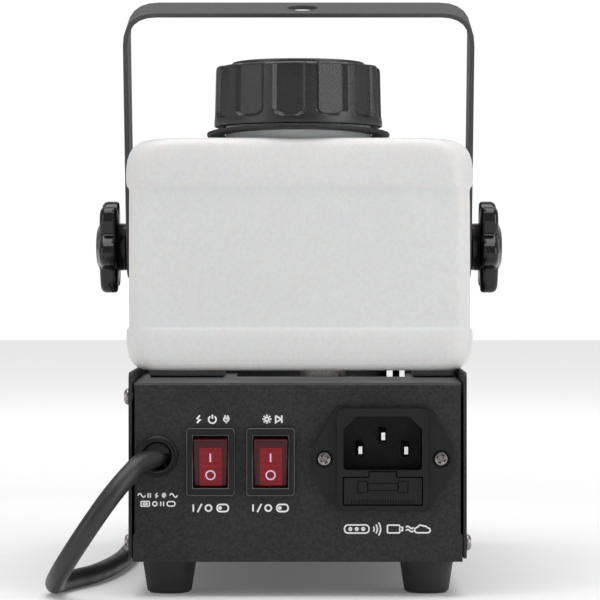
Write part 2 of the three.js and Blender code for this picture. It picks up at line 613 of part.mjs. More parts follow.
function pumpBody() {
  const { x, z, radius, back, front, bore } = PUMP;
  const coil = rod("y", radius, back + 6, front - 8, x, z, 24);
  const core = rod("y", 7.5, back, front, x, z, 20);
  const base = block(x - 9, x + 9, back + 10, front - 12, FLOOR + SHEET + GAP, z - 8);
  return cut(join(coil, core, base), rod("y", bore, back - 1, front - 10, x, z, 16));
}

function pumpPlunger() {
  const { x, z, back, bore } = PUMP;
  return rod("y", bore - GAP, back + 12, back + 38, x, z, 16);
}

function thermostat() {
  return join(rod("z", 8, HEATER.top + GAP, 107, 0, 150, 20), block(-6, 6, 146, 154, 106, 110));
}

function controlBoard() {
  const [x0, x1, y0, y1, z] = [-46, -12, 36, 92, 20];
  const board = block(x0, x1, y0, y1, z, z + 1.6);
  const posts = [x0 + 4, x1 - 4].flatMap((x) =>
    [y0 + 4, y1 - 4].map((y) => rod("z", 2, FLOOR + SHEET + GAP, z + 0.5, x, y, 8)),
  );
  const relay = block(x0 + 6, x0 + 21, y0 + 9, y0 + 28, z + 1.5, z + 16);
  const transformer = block(x0 + 7, x0 + 29, y1 - 25, y1 - 7, z + 1.5, z + 18);
  const capacitor = rod("z", 4, z + 1.5, z + 14, x1 - 7, y0 + 16, 12);
  return join(board, ...posts, relay, transformer, capacitor);
}

add("heater_block", heaterBlock(), "aluminium");
add("thermostat", thermostat(), "zinc_steel");
add("nozzle", nozzle(), "brass");
for (const [i, x] of LEDS.x.entries()) add("led_lens_" + (i + 1), ledLens(x), "lens");
add("pump_body", pumpBody(), "dark_steel");
add("pump_plunger", pumpPlunger(), "zinc_steel");
add("control_board", controlBoard(), "board");
add("intake_hose", tube(INTAKE_ROUTE, 3, 14), "hose");
add("pressure_hose", tube(PRESSURE_ROUTE, 2.2, 12), "hose");

export default machine;
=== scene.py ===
"""The looks of a small fog machine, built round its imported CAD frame. Metres, +Z up, control panel at -Y."""
import math

import bmesh
import bpy
from mathutils import Matrix, Vector, noise


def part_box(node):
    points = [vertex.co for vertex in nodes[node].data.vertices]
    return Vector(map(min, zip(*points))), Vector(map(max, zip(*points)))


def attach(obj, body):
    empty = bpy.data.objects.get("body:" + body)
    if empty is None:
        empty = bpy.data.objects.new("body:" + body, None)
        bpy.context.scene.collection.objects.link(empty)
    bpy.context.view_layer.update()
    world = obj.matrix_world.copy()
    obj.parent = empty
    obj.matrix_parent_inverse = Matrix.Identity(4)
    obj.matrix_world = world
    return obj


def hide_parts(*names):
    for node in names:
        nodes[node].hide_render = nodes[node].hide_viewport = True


MM = 0.001
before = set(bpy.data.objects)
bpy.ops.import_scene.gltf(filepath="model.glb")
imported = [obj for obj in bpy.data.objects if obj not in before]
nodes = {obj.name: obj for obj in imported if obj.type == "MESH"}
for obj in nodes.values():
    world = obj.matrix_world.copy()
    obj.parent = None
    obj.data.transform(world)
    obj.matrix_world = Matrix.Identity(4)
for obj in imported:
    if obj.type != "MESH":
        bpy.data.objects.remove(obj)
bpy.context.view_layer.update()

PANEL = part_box("base_tray")[0].y  # the control panel's outer face
TAU = 2 * math.pi
NECK_DEPTH = 35  # the axis of the bottle's neck and cap, in mm behind the control panel
PIVOT_DEPTH, PIVOT_HEIGHT = 85, 110  # the axis of the clamping knobs, in mm
SWITCH_HEIGHT = 42  # the middle of both rocker switches, in mm
WELD, CAD_WELD = 0.002 * MM, 0.005 * MM  # points closer than this become one
FLAT = math.radians(0.8)  # CAD faces that meet at less than this are one face
BEND = math.radians(38)  # and at more than this they meet in an edge


def at(x, depth, z):
    """A point from millimetres: x from the middle, depth behind the control panel, z above the floor."""
    return Vector((x * MM, PANEL + depth * MM, z * MM))


# ---------------------------------------------------------------- camera
def make_camera():
    """Far off and square on to the control panel, shifted sideways instead of turned."""
    data = bpy.data.cameras.new("camera")
    data.lens = 184.1
    data.sensor_width = 36
    data.shift_x = -0.0267
    data.clip_start = 0.05
    camera = bpy.data.objects.new("camera", data)
    camera.location = at(5.69, -950, 92.1)
    camera.rotation_euler = (math.radians(90), 0, 0)
    bpy.context.scene.collection.objects.link(camera)
    bpy.context.scene.camera = camera


make_camera()


# ---------------------------------------------------------------- materials
def link(tree, source, target):
    tree.links.new(source, target)


def texture(tree, kind, scale, **settings):
    """A procedural texture in the object's own metres."""
    node = tree.nodes.new(kind)
    coords = tree.nodes.get("coords") or tree.nodes.new("ShaderNodeTexCoord")
    coords.name = "coords"
    link(tree, coords.outputs["Object"], node.inputs["Vector"])
    node.inputs["Scale"].default_value = scale
    for name, value in settings.items():
        node.inputs[name].default_value = value
    return node


def ranged(tree, source, low, high, start=0.3, end=0.7):
    """Maps a texture's values from start..end onto low..high."""
    node = tree.nodes.new("ShaderNodeMapRange")
    link(tree, source, node.inputs["Value"])
    for name, value in (("From Min", start), ("From Max", end), ("To Min", low), ("To Max", high)):
        node.inputs[name].default_value = value
    return node.outputs["Result"]


def mixed(tree, factor, first, second):
    """A colour between two, as the factor says."""
    node = tree.nodes.new("ShaderNodeMix")
    node.data_type = "RGBA"
    link(tree, factor, node.inputs["Factor"])
    node.inputs["A"].default_value = (*first, 1)
    node.inputs["B"].default_value = (*second, 1)
    return node.outputs["Result"]


def make_material(name, dark, light, roughness, grain=1500, bump=0.15, blotch=60, **sockets):
    """A surface between two shades and over a range of roughness, with a fine grain."""
    made = bpy.data.materials.new(name)
    made.use_nodes = True
    tree = made.node_tree
    shader = tree.nodes["Principled BSDF"]
    fine = texture(tree, "ShaderNodeTexNoise", grain, Detail=4.0, Roughness=0.6)
    broad = texture(tree, "ShaderNodeTexNoise", blotch, Detail=3.0, Roughness=0.55)
    blend = tree.nodes.new("ShaderNodeMath")
    blend.operation = "ADD"
    link(tree, ranged(tree, fine.outputs["Fac"], 0, 0.72), blend.inputs[0])
    link(tree, ranged(tree, broad.outputs["Fac"], 0, 0.28), blend.inputs[1])
    link(tree, mixed(tree, blend.outputs[0], dark, light), shader.inputs["Base Color"])
    link(tree, ranged(tree, broad.outputs["Fac"], *roughness), shader.inputs["Roughness"])
    bumps = tree.nodes.new("ShaderNodeBump")
    bumps.inputs["Strength"].default_value = bump
    bumps.inputs["Distance"].default_value = 0.2 * MM
    link(tree, fine.outputs["Fac"], bumps.inputs["Height"])
    link(tree, bumps.outputs["Normal"], shader.inputs["Normal"])
    for socket, value in sockets.items():
        shader.inputs[socket.replace("_", " ")].default_value = value
    return made


def grey(value):
    """A neutral shade with a trace of blue."""
    return (value, value, value * 1.02)


METAL = {"Metallic": 1.0}
M = {
    "powder": make_material("powder_coat", grey(0.002), grey(0.03), (0.4, 0.56), 1300, 1.0, 35,
                            Specular_IOR_Level=0.3),
    # A lighter copy of the powder coat for the shelf and roof: painted light, for the light that reaches the
    # shelf under the bottle.
    "deck": make_material("powder_coat_deck_painted_light", grey(0.012), grey(0.034), (0.42, 0.6), 1500, 0.8, 35,
                          Specular_IOR_Level=0.4),
    # Lighter powder coat for the bend faces of the folds: a painted highlight.
    "fold": make_material("powder_coat_painted_fold_highlight", grey(0.05), grey(0.13), (0.3, 0.45), 1500, 0.9, 35,
                          Specular_IOR_Level=0.8),
    "pad": make_material("pad_rubber", grey(0.05), grey(0.08), (0.7, 0.85), 1200, 0.5, 90),
    "yoke": make_material("powder_coat_yoke", grey(0.028), grey(0.055), (0.36, 0.52), 1500, 0.8, 35,
                          Specular_IOR_Level=0.5),
    "bottle": make_material("bottle_polyethylene", (0.6, 0.6, 0.597), (0.67, 0.67, 0.667), (0.34, 0.5), 900,
                            0.12, 22, Subsurface_Weight=0.3, Subsurface_Scale=0.006),
    "cap": make_material("cap_polypropylene", grey(0.003), grey(0.009), (0.2, 0.32), 2200, 0.6, 60,
                         Specular_IOR_Level=0.6),
    "knob": make_material("knob_gloss_black", grey(0.003), grey(0.006), (0.07, 0.15), 500, 0.03, 120,
                          Coat_Weight=0.1, Coat_Roughness=0.05, Specular_IOR_Level=0.35),
    "moulding": make_material("switch_nylon", grey(0.003), grey(0.009), (0.34, 0.48), 2400, 0.25, 90,
                              Specular_IOR_Level=0.27),
    # Lighter nylon for the bevels of the switch and inlet mouldings: a painted highlight.
    "rim": make_material("switch_nylon_painted_edge_highlight", grey(0.035), grey(0.07), (0.3, 0.4), 2400, 0.25, 90,
                         Specular_IOR_Level=0.6),
    # Near-black nylon for the fuse drawer's raised marks: painted shade that makes them show.
    "recess": make_material("moulding_painted_shade_line", grey(0.001), grey(0.003), (0.6, 0.7), 2400, 0.1, 90,
                            Specular_IOR_Level=0.1),
    "rubber": make_material("foot_rubber", grey(0.016), grey(0.028), (0.5, 0.7), 1400, 0.35, 70,
                            Specular_IOR_Level=0.35),
    "cord": make_material("cord_pvc", grey(0.012), grey(0.024), (0.34, 0.48), 1200, 0.15, 120,
                          Specular_IOR_Level=0.45),
    "zinc": make_material("zinc_plate", (0.5, 0.49, 0.5), (0.74, 0.73, 0.73), (0.18, 0.4), 1400, 0.2, 260,
                          **METAL),
    # Pale plates on the inlet pins' tips: a painted glint.
    "bright": make_material("pin_tip_painted_glint", (0.8, 0.8, 0.8), (0.9, 0.9, 0.9), (0.3, 0.5), 900, 0.1, 120),
    "nickel": make_material("black_nickel", (0.16, 0.14, 0.14), (0.36, 0.33, 0.33), (0.2, 0.4), 1400, 0.2,
                            260, **METAL),
    "brass": make_material("brass", (0.6, 0.42, 0.17), (0.8, 0.6, 0.3), (0.16, 0.36), 1500, 0.12, 180,
                           **METAL),
    "aluminium": make_material("cast_aluminium", (0.4, 0.4, 0.41), (0.6, 0.6, 0.61), (0.4, 0.62), 1000, 0.5,
                               110, **METAL),
    "board": make_material("solder_mask", (0.01, 0.09, 0.03), (0.02, 0.16, 0.06), (0.3, 0.45), 2200, 0.15,
                           300),
    "lens": make_material("led_lens", (0.8, 0.84, 0.9), (0.92, 0.94, 0.98), (0.04, 0.1), 600, 0.02, 150,
                          Transmission_Weight=0.6),
    "glass": make_material("fuse_glass", (0.86, 0.9, 0.9), (0.94, 0.96, 0.96), (0.03, 0.08), 600, 0.01, 150,
                           Transmission_Weight=0.85),
    "foam": make_material("foam", grey(0.012), grey(0.03), (0.8, 0.95), 1100, 0.9, 200),
    "paint": make_material("white_print", (0.74, 0.74, 0.75), (0.86, 0.86, 0.86), (0.5, 0.65), 2400, 0.1,
                           500),
    "mark": make_material("rocker_mark", (0.66, 0.5, 0.66), (0.78, 0.64, 0.78), (0.3, 0.4), 1500, 0.03, 300),
    "rocker": make_material("rocker_lens", (0.035, 0.002, 0.005), (0.055, 0.004, 0.008), (0.12, 0.22), 900,
                            0.04, 160, Specular_IOR_Level=0.22, Coat_Weight=0.05, Coat_Roughness=0.06),
}


def make_dotted_red():
    """The red behind the rocker's lens, with its fine square grid of darker dots."""
    made = bpy.data.materials.new("rocker_grid")
    made.use_nodes = True
    tree = made.node_tree
    shader = tree.nodes["Principled BSDF"]
    grid = texture(tree, "ShaderNodeTexVoronoi", 1 / (0.42 * MM), Randomness=0.0)
    dots = ranged(tree, grid.outputs["Distance"], 1, 0, 0.15, 0.45)
    link(tree, mixed(tree, dots, (0.22, 0.008, 0.015), (0.085, 0.004, 0.006)), shader.inputs["Base Color"])
    shader.inputs["Roughness"].default_value = 0.2
    shader.inputs["Specular IOR Level"].default_value = 0.2
    return made


M["grid"] = make_dotted_red()


# ---------------------------------------------------------------- mesh helpers
def clean_mesh(name, verts, faces):
    """A mesh without doubled points, its faces turned outward."""
    mesh = bpy.data.meshes.new(name)
    mesh.from_pydata([tuple(v) for v in verts], [], [tuple(f) for f in faces])
    tidied = bmesh.new()
    tidied.from_mesh(mesh)
    bmesh.ops.remove_doubles(tidied, verts=tidied.verts, dist=WELD)
    bmesh.ops.recalc_face_normals(tidied, faces=tidied.faces)
    tidied.to_mesh(mesh)
    tidied.free()
    return mesh


def add_piece(name, verts, faces, look, body="housing", slot=None, replaces=(), sharp=35, matrix=None):
    """Makes one mesh piece, smooth but for its sharp edges, that rides on a body."""
    piece = bpy.data.objects.new(name, clean_mesh(name, verts, faces))
    finish_piece(piece, look, body, replaces, sharp, matrix)


def finish_piece(piece, look, body, replaces, sharp=35, matrix=None):
    """Places a mesh object and gives it its look, its body and the nodes that it replaces."""
    mesh = piece.data
    if matrix:
        mesh.transform(matrix)
    mesh.materials.clear()
    mesh.materials.append(M[look])
    mesh.shade_smooth()
    mesh.set_sharp_from_angle(angle=math.radians(sharp))
    if piece.name not in bpy.context.scene.collection.objects:
        bpy.context.scene.collection.objects.link(piece)
    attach(piece, body)
    if replaces:
        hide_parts(*replaces)
    return piece


def loft(rings, ends=(True, True)):
    """Joins rings of equal length into a skin, with a flat face over each end that is asked for."""
    verts = [v for ring in rings for v in ring]
    count = len(rings[0])
    faces = [
        (i * count + j, i * count + (j + 1) % count, (i + 1) * count + (j + 1) % count, (i + 1) * count + j)
        for i in range(len(rings) - 1)
        for j in range(count)
    ]
    if ends[0]:
        faces.append(tuple(reversed(range(count))))
    if ends[1]:
        faces.append(tuple(range((len(rings) - 1) * count, len(rings) * count)))
    return verts, faces


def lathe(profile, segments=64):
    """Turns a profile of (radius, height) in millimetres about +Z; a radius of 0 closes an end."""
    angles = [TAU * i / segments for i in range(segments)]
    rings = [[Vector((r * math.cos(a), r * math.sin(a), h)) * MM for a in angles] for r, h in profile]
    is_open = profile[0] != profile[-1]
    return loft(rings, (is_open and profile[0][0] > 0, is_open and profile[-1][0] > 0))


def rounded_rect(half_x, half_y, radius, corner=8, along_x=1, along_y=1):
    """Points of a rounded rectangle, counter-clockwise, in millimetres; its sides can be divided."""
    points = []
    quarter = math.pi / 2
    for k, (sx, sy) in enumerate(((1, 1), (-1, 1), (-1, -1), (1, -1))):
        centre = Vector((sx * (half_x - radius), sy * (half_y - radius)))
        arc = [
            centre + radius * Vector((math.cos(a), math.sin(a)))
            for a in (k * quarter + quarter * i / corner for i in range(corner + 1))
        ]
        points += arc
        following = Vector(((-1, 1), (-1, -1), (1, -1), (1, 1))[k])
        start = Vector((following.x * (half_x - radius), following.y * (half_y - radius)))
        first = start + radius * Vector((math.cos((k + 1) * quarter), math.sin((k + 1) * quarter)))
        steps = along_x if k % 2 == 0 else along_y
        points += [arc[-1].lerp(first, i / steps) for i in range(1, steps)]
    return points


def basis(x_axis, y_axis, z_axis, origin=(0, 0, 0)):
    """A matrix that takes local axes to these directions and the local origin to a point."""
    turn = Matrix((x_axis, y_axis, z_axis)).transposed().to_4x4()
    return Matrix.Translation(Vector(origin)) @ turn


FACING_REAR = ((1, 0, 0), (0, 0, 1), (0, -1, 0))  # local +Z looks out of the control panel, +Y is up


def cut(piece, cutter):
    """Takes the cutter's shape out of the piece, and removes the cutter."""
    modifier = piece.modifiers.new("cut", "BOOLEAN")
    modifier.object = cutter
    modifier.solver = "EXACT"
    graph = bpy.context.evaluated_depsgraph_get()
    result = bpy.data.meshes.new_from_object(piece.evaluated_get(graph))
    piece.modifiers.clear()
    piece.data = result
    bpy.data.objects.remove(cutter)


def raw_object(name, verts, faces):
    """A mesh object that isn't a piece yet."""
    made = bpy.data.objects.new(name, clean_mesh(name, verts, faces))
    bpy.context.scene.collection.objects.link(made)
    return made


def prism(points, z0, z1):
    """An upright prism in millimetres over a flat outline."""
    return loft([[Vector((p[0], p[1], z)) * MM for p in points] for z in (z0, z1)])


def soft_prism(points_at, z0, z1, edge, steps=3):
    """An upright prism whose top edge is rounded; points_at gives the outline shrunk by an inset."""
    rings = [[Vector((p[0], p[1], z0)) * MM for p in points_at(0)]]
    for i in range(steps + 1):
        angle = math.pi / 2 * i / steps
        inset, z = edge * (1 - math.cos(angle)), z1 - edge * (1 - math.sin(angle))
        rings.append([Vector((p[0], p[1], z)) * MM for p in points_at(inset)])
    return loft(rings)


def smooth_path(points, steps=6):
    """Points along a centripetal Catmull-Rom curve through the given ones."""
    ends = [2 * points[0] - points[1], *points, 2 * points[-1] - points[-2]]
    path = []
    for p0, p1, p2, p3 in zip(ends, ends[1:], ends[2:], ends[3:]):
        t1 = (p1 - p0).length ** 0.5
        t2 = t1 + (p2 - p1).length ** 0.5
        t3 = t2 + (p3 - p2).length ** 0.5
        for i in range(steps):
            t = t1 + (t2 - t1) * i / steps
            a1 = p0.lerp(p1, t / t1)
            a2 = p1.lerp(p2, (t - t1) / (t2 - t1))
            a3 = p2.lerp(p3, (t - t2) / (t3 - t2))
            b1 = a1.lerp(a2, t / t2)
            b2 = a2.lerp(a3, (t - t1) / (t3 - t1))
            path.append(b1.lerp(b2, (t - t1) / (t2 - t1)))
    return [*path, points[-1].copy()]


def add_cable(name, path, radius, look, replaces, body="housing"):
    """A round cable or hose: a curve of one open spline."""
    data = bpy.data.curves.new(name, "CURVE")
    data.dimensions = "3D"
    data.bevel_depth = radius
    data.bevel_resolution = 6
    data.use_fill_caps = True
    spline = data.splines.new("POLY")
    spline.points.add(len(path) - 1)
    for point, place in zip(spline.points, path):
        point.co = (*place, 1)
    spline.use_smooth = True
    cable = bpy.data.objects.new(name, data)
    data.materials.append(M[look])
    bpy.context.scene.collection.objects.link(cable)
    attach(cable, body)
    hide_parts(*replaces)
    return cable


# ---------------------------------------------------------------- mains lead and plug
CORD = 6.2 * MM
CORD_ROUTE = [
    (-48.5, -5.9, 41.6), (-52.1, -10.5, 38), (-57.1, -14.5, 31.9), (-62.5, -15.8, 24.3), (-67.8, -13.5, 16.4),
    (-72.4, -7.4, 9.3), (-75.2, 2, 4.5), (-75.3, 14.4, 3.2), (-71.3, 29, 3.15), (-67, 44, 3.15),
    (-63.9, 64, 3.15), (-61.6, 88, 3.15), (-60.5, 115, 3.15), (-60.3, 145, 3.15), (-60.8, 175, 3.15),
    (-61.8, 203, 3.15), (-63, 230, 3.15), (-63.8, 246, 3.15), (-64, 258.8, 3.15),
]
TAIL_ROUTE = [
    (5.2, 328.2, 9.4), (16.2, 328.2, 9), (26.8, 326.1, 8.4), (35.9, 320.1, 8.1), (41.9, 311, 8),
    (44, 300.4, 8),
]
COIL = {"x": -20, "y": 284, "outer": 44.2, "inner": 30.3, "low": 3.15, "high": 9.45}


def coil_path():
    """Winds in clockwise along the floor, climbs, and winds out again on top, to leave towards +X."""
    turns_in, climb, turns, steps = 2.2, 0.22, 4.25, 48
    path = []
    for i in range(int(turns * steps) + 1):
        turn = i / steps
        angle = math.pi - TAU * turn
        if turn < turns_in:
            radius = COIL["outer"] + (COIL["inner"] - COIL["outer"]) * turn / turns_in
            z = COIL["low"]
        else:
            out = max(0, turn - turns_in - climb) / (turns - turns_in - climb)
            rise = min(1, (turn - turns_in) / climb)
            radius = COIL["inner"] + (COIL["outer"] - COIL["inner"]) * out
            z = COIL["low"] + (COIL["high"] - COIL["low"]) * rise * rise * (3 - 2 * rise)
        path.append(at(COIL["x"] + radius * math.cos(angle), COIL["y"] + radius * math.sin(angle), z))
    return path


def make_lead():
    """The mains lead from inside its gland to the plug, in one curve, and the point where it starts."""
    route = [at(*p) for p in [(-41.5, 2.5, 44.5), (-44.6, -1.2, 43.2), *CORD_ROUTE, (-64.15, 271, 3.15)]]
    tail = [at(*p) for p in [(-7, 328.2, 9.45), *TAIL_ROUTE, (44.2, 296, 8), (44.2, 290, 8)]]
    path = smooth_path(route) + coil_path() + smooth_path(tail)
    lead = add_cable("mains_lead", path, CORD / 2, "cord",
                     ("mains_cord", "mains_cord_coil", "mains_cord_tail"))
    return lead, path[0]


def make_plug():
    """A moulded angled earthed plug that lies on its back, pins up."""
    x, y = 44, 259.5
    to_place = Matrix.Translation(at(x, y, 0))
    half = 17

    def outline(inset, bulge=18.5):
        points = []
        for i in range(72):
            a = TAU * i / 72
            p = Vector((math.cos(a), math.sin(a))) * (bulge - inset)
            points.append(Vector((max(-half + inset, min(half - inset, p.x)), p.y)))
        return points

    rings = []
    for inset, z in ((3, 0.3), (1.6, 0.5), (0.5, 1.4), (0, 3), (0, 13), (0.4, 14.6), (1.4, 15.7), (2.6, 16)):
        rings.append([Vector((p.x, p.y, z)) * MM for p in outline(inset)])
    add_piece("plug_body", *loft(rings), "cord", slot="cord_rubber", replaces=["mains_plug"], matrix=to_place)
    neck = [(0, 0), (6.6, 0), (6.6, 6)]
    for i in range(7):
        r = 6.2 - 0.36 * i
        start = 7 + 2.3 * i
        neck += [(r, start), (r, start + 1.3), (r - 0.8, start + 1.5), (r - 0.8, start + 2.1)]
    neck += [(3.5, 24), (0, 24)]
    relief = Matrix.Translation(at(x, 275.5, 8)) @ basis((1, 0, 0), (0, 0, -1), (0, 1, 0))
    add_piece("plug_strain_relief", *lathe(neck, 32), "cord", slot="cord_rubber", matrix=relief)
    for name, dx in (("left", -9.5), ("right", 9.5)):
        pin = [(0, 15.5), (2.4, 15.5), (2.4, 33.4), (2.1, 34.3), (1.3, 34.85), (0, 35)]
        place = Matrix.Translation(at(x + dx, y, 0))
        add_piece(f"plug_{name}_pin", *lathe(pin, 32), "zinc", slot="zinc_steel", matrix=place)
    for name, side in (("left", -1), ("right", 1)):
        inner, outer, reach = side * 16.4, side * 17.25, 3
        strip = prism([(inner, -reach), (outer, -reach), (outer, reach), (inner, reach)][::side], 5, 15.4)
        add_piece(f"plug_{name}_earth_clip", *strip, "zinc", slot="zinc_steel", matrix=to_place)


lead, lead_exit = make_lead()
make_plug()


# ---------------------------------------------------------------- stage
def make_stage():
    """A pale floor that glows more further out, where the lamps don't reach, so that it stays even."""
    floor = raw_object("floor", [(-6, -6, 0), (6, -6, 0), (6, 6, 0), (-6, 6, 0)], [(0, 1, 2, 3)])
    pale = make_material("studio_floor", (0.8, 0.8, 0.8), (0.82, 0.82, 0.82), (0.55, 0.65), 40, 0, 2,
                         Emission_Color=(1, 1, 1, 1))
    tree = pale.node_tree
    distance = tree.nodes.new("ShaderNodeVectorMath")
    distance.operation = "LENGTH"
    link(tree, tree.nodes["coords"].outputs["Object"], distance.inputs[0])
    glow = ranged(tree, distance.outputs["Value"], 0.1, 0.42, 0.42, 1.1)
    link(tree, glow, tree.nodes["Principled BSDF"].inputs["Emission Strength"])
    floor.data.materials.append(pale)


def add_light(name, place, target, size, power):
    """A soft rectangular lamp that faces its target."""
    data = bpy.data.lights.new(name, "AREA")
    data.shape = "RECTANGLE"
    data.size, data.size_y = size
    data.energy = power
    lamp = bpy.data.objects.new(name, data)
    lamp.location = place
    lamp.rotation_euler = (Vector(target) - Vector(place)).to_track_quat("-Z", "Y").to_euler()
    bpy.context.scene.collection.objects.link(lamp)
    return lamp


def make_lights():
    """White all round, a strong soft light overhead, and two strips for the gloss."""
    world = bpy.data.worlds.new("studio")
    bpy.context.scene.world = world
    world.use_nodes = True
    tree = world.node_tree
    seen = tree.nodes.new("ShaderNodeLightPath")
    strength = ranged(tree, seen.outputs["Is Camera Ray"], 0.45, 1.05, 0, 1)
    link(tree, strength, tree.nodes["Background"].inputs["Strength"])
    tree.nodes["Background"].inputs["Color"].default_value = (1, 1, 1, 1)
    add_light("overhead", (0.0, -0.1, 1.5), (0, 0, 0), (1.5, 1.5), 21)
    add_light("front_left", (-1.3, -0.86, 0.45), (0, -0.08, 0.1), (0.6, 1.2), 4)
    add_light("front_right", (1.3, -0.86, 0.45), (0, -0.08, 0.1), (0.6, 1.2), 8)
    # The light that an empty translucent bottle lets through to the shelf under it.
    under = add_light("under_bottle", at(0, 36, 69.9), at(0, 36, 60), (0.1, 0.056), 0.011)
    under.visible_camera = False
    bpy.context.scene.view_settings.view_transform = "Standard"


make_stage()
make_lights()


# ---------------------------------------------------------------- CAD nodes, dressed or folded anew
def dress(name, look, edge=0.25, segments=2, edge_highlight_look=None):
    """Gives a CAD node its material and small round edges; an edge look, if given, is a lighter material on
    the bevels, a painted highlight.
    """
    node = nodes[name]
    if not node.material_slots:
        node.data.materials.append(M[look])
    for held in node.material_slots:
        held.material = M[look]
    node.data.polygons.foreach_set("use_smooth", [True] * len(node.data.polygons))
    if edge:
        weld = node.modifiers.new("weld", "WELD")
        weld.merge_threshold = CAD_WELD
        flats = node.modifiers.new("flats", "DECIMATE")
        flats.decimate_type = "DISSOLVE"
        flats.angle_limit = FLAT
        bevel = node.modifiers.new("edges", "BEVEL")
        bevel.width = edge * MM
        bevel.segments = segments
        bevel.limit_method = "ANGLE"
        bevel.angle_limit = BEND
        bevel.use_clamp_overlap = True
        if edge_highlight_look:
            node.data.materials.append(M[edge_highlight_look])
            bevel.material = len(node.data.materials) - 1
        even = node.modifiers.new("even", "WEIGHTED_NORMAL")
        even.weight = 100
        even.keep_sharp = True


def refold(name, made_name, look, is_fold, radius, edge):
    """A copy of a sheet-steel CAD node with a real fold's radius on its bends and soft cut edges; its bend
    faces take a lighter coat, a painted highlight.
    """
    tidied = bmesh.new()
    tidied.from_mesh(nodes[name].data)
    bmesh.ops.remove_doubles(tidied, verts=tidied.verts, dist=CAD_WELD)
    bmesh.ops.dissolve_limit(tidied, angle_limit=FLAT, verts=tidied.verts, edges=tidied.edges)
    folds = [e for e in tidied.edges if e.calc_face_angle(0) > BEND and is_fold(e)]
    bmesh.ops.bevel(tidied, geom=folds, offset=radius * MM, offset_type="OFFSET", segments=6, profile=0.5,
                    affect="EDGES", clamp_overlap=True, material=1)
    mesh = bpy.data.meshes.new(made_name)
    tidied.to_mesh(mesh)
    tidied.free()
    piece = finish_piece(bpy.data.objects.new(made_name, mesh), look, "housing", [name], 38)
    # The bend faces' lighter second material is a painted highlight.
    mesh.materials.append(M["fold"])
    soften = piece.modifiers.new("edges", "BEVEL")
    soften.width = edge * MM
    soften.segments = 2
    soften.limit_method = "ANGLE"
    soften.angle_limit = BEND
    even = piece.modifiers.new("even", "WEIGHTED_NORMAL")
    even.keep_sharp = True


def on_panel_outline(edge):
    """The control panel's top, side and bottom folds, but not the edges of its cut-outs."""
    top, side, bottom = 65, 49.9, 11.3
    corner_x, corner_z = 49.2, 64
    for vertex in edge.verts:
        x, z = abs(vertex.co.x) / MM, vertex.co.z / MM
        outline = z > top or x > side or z < bottom or (x > corner_x and z > corner_z)
        if vertex.co.y > PANEL + 0.05 * MM or not outline:
            return False
    return True


def on_deck_fold(edge):
    """The deck's fold behind the control panel, and its bend from the riser to the roof."""
    place = sum((v.co for v in edge.verts), Vector()) / 2
    depth, z = (place.y - PANEL) / MM, place.z / MM
    shelf_top, riser_depth, roof = 66, 66, 141
    across = abs(edge.verts[0].co.x - edge.verts[1].co.x) > 5 * MM
    return across and ((depth < 1.5 and z > shelf_top) or (abs(depth - riser_depth) < 0.5 and z > roof))


refold("base_tray", "tray_and_control_panel", "powder", on_panel_outline, 1.3, 0.25)
# The deck's lighter coat is painted light.
refold("deck_cover", "shelf_and_roof", "deck", on_deck_fold, 1.3, 0.25)
for name in ("front_panel", "left_side_panel", "right_side_panel", "neck_bracket"):
    dress(name, "powder", 0.3)
dress("yoke", "yoke", 0.3)
for name in ("power_switch_body", "led_switch_body", "inlet_body"):
    # The rim look on the bevels of these mouldings is a painted highlight.
    dress(name, "moulding", 0.3, 3, "rim")
dress("fuse_drawer", "moulding", 0.2)
for side in ("left", "right"):
    dress(f"{side}_pivot_washer", "zinc", 0.25)
    dress(f"{side}_pivot_nut", "zinc", 0.3)
    dress(f"{side}_knob_stud", "zinc", 0.4)
    dress(f"{side}_tank_pad", "pad", 0.3)
dress("cap_seal", "foam", 0.2)
dress("tank_outlet", "nickel", 0.25)
dress("nozzle", "brass", 0.25)
dress("heater_block", "aluminium", 0.5)
dress("thermostat", "zinc", 0.4)
dress("pump_body", "nickel", 0.5)
dress("pump_plunger", "zinc", 0.4)
dress("control_board", "board", 0.2)
dress("fuse", "glass", 0.3)
for i in (1, 2, 3):
    dress(f"led_lens_{i}", "lens", 0.2)


# ---------------------------------------------------------------- bottle
BOTTLE_HALF = (54.4, 29.2)
BOTTLE_MIDDLE = (0.5, 34.2)


def ring_at(inset_x, inset_y, radius, z):
    """One level of the bottle: a rounded rectangle, crowned and a little uneven, as blow moulding is."""
    foot, height, crown_height, unevenness = 72, 70, 0.35, 0.22
    half_x, half_y = BOTTLE_HALF
    points = []
    for p in rounded_rect(half_x - inset_x, half_y - inset_y, radius, 10, 14, 8):
        wave = noise.noise(Vector((p.x / 31, p.y / 31, z / 27))) * unevenness
        out = Vector((p.x / half_x, p.y / half_y))
        bulge = math.sin(math.pi * max(0, min(1, (z - foot) / height)))
        crown = crown_height * (1 - min(1, abs(out.x)) ** 2) * bulge
        swell = (wave + crown) * math.copysign(min(1, abs(out.y) ** 4), out.y)
        points.append(at(BOTTLE_MIDDLE[0] + p.x + wave * out.x, p.y + BOTTLE_MIDDLE[1] + swell, z))
    return points


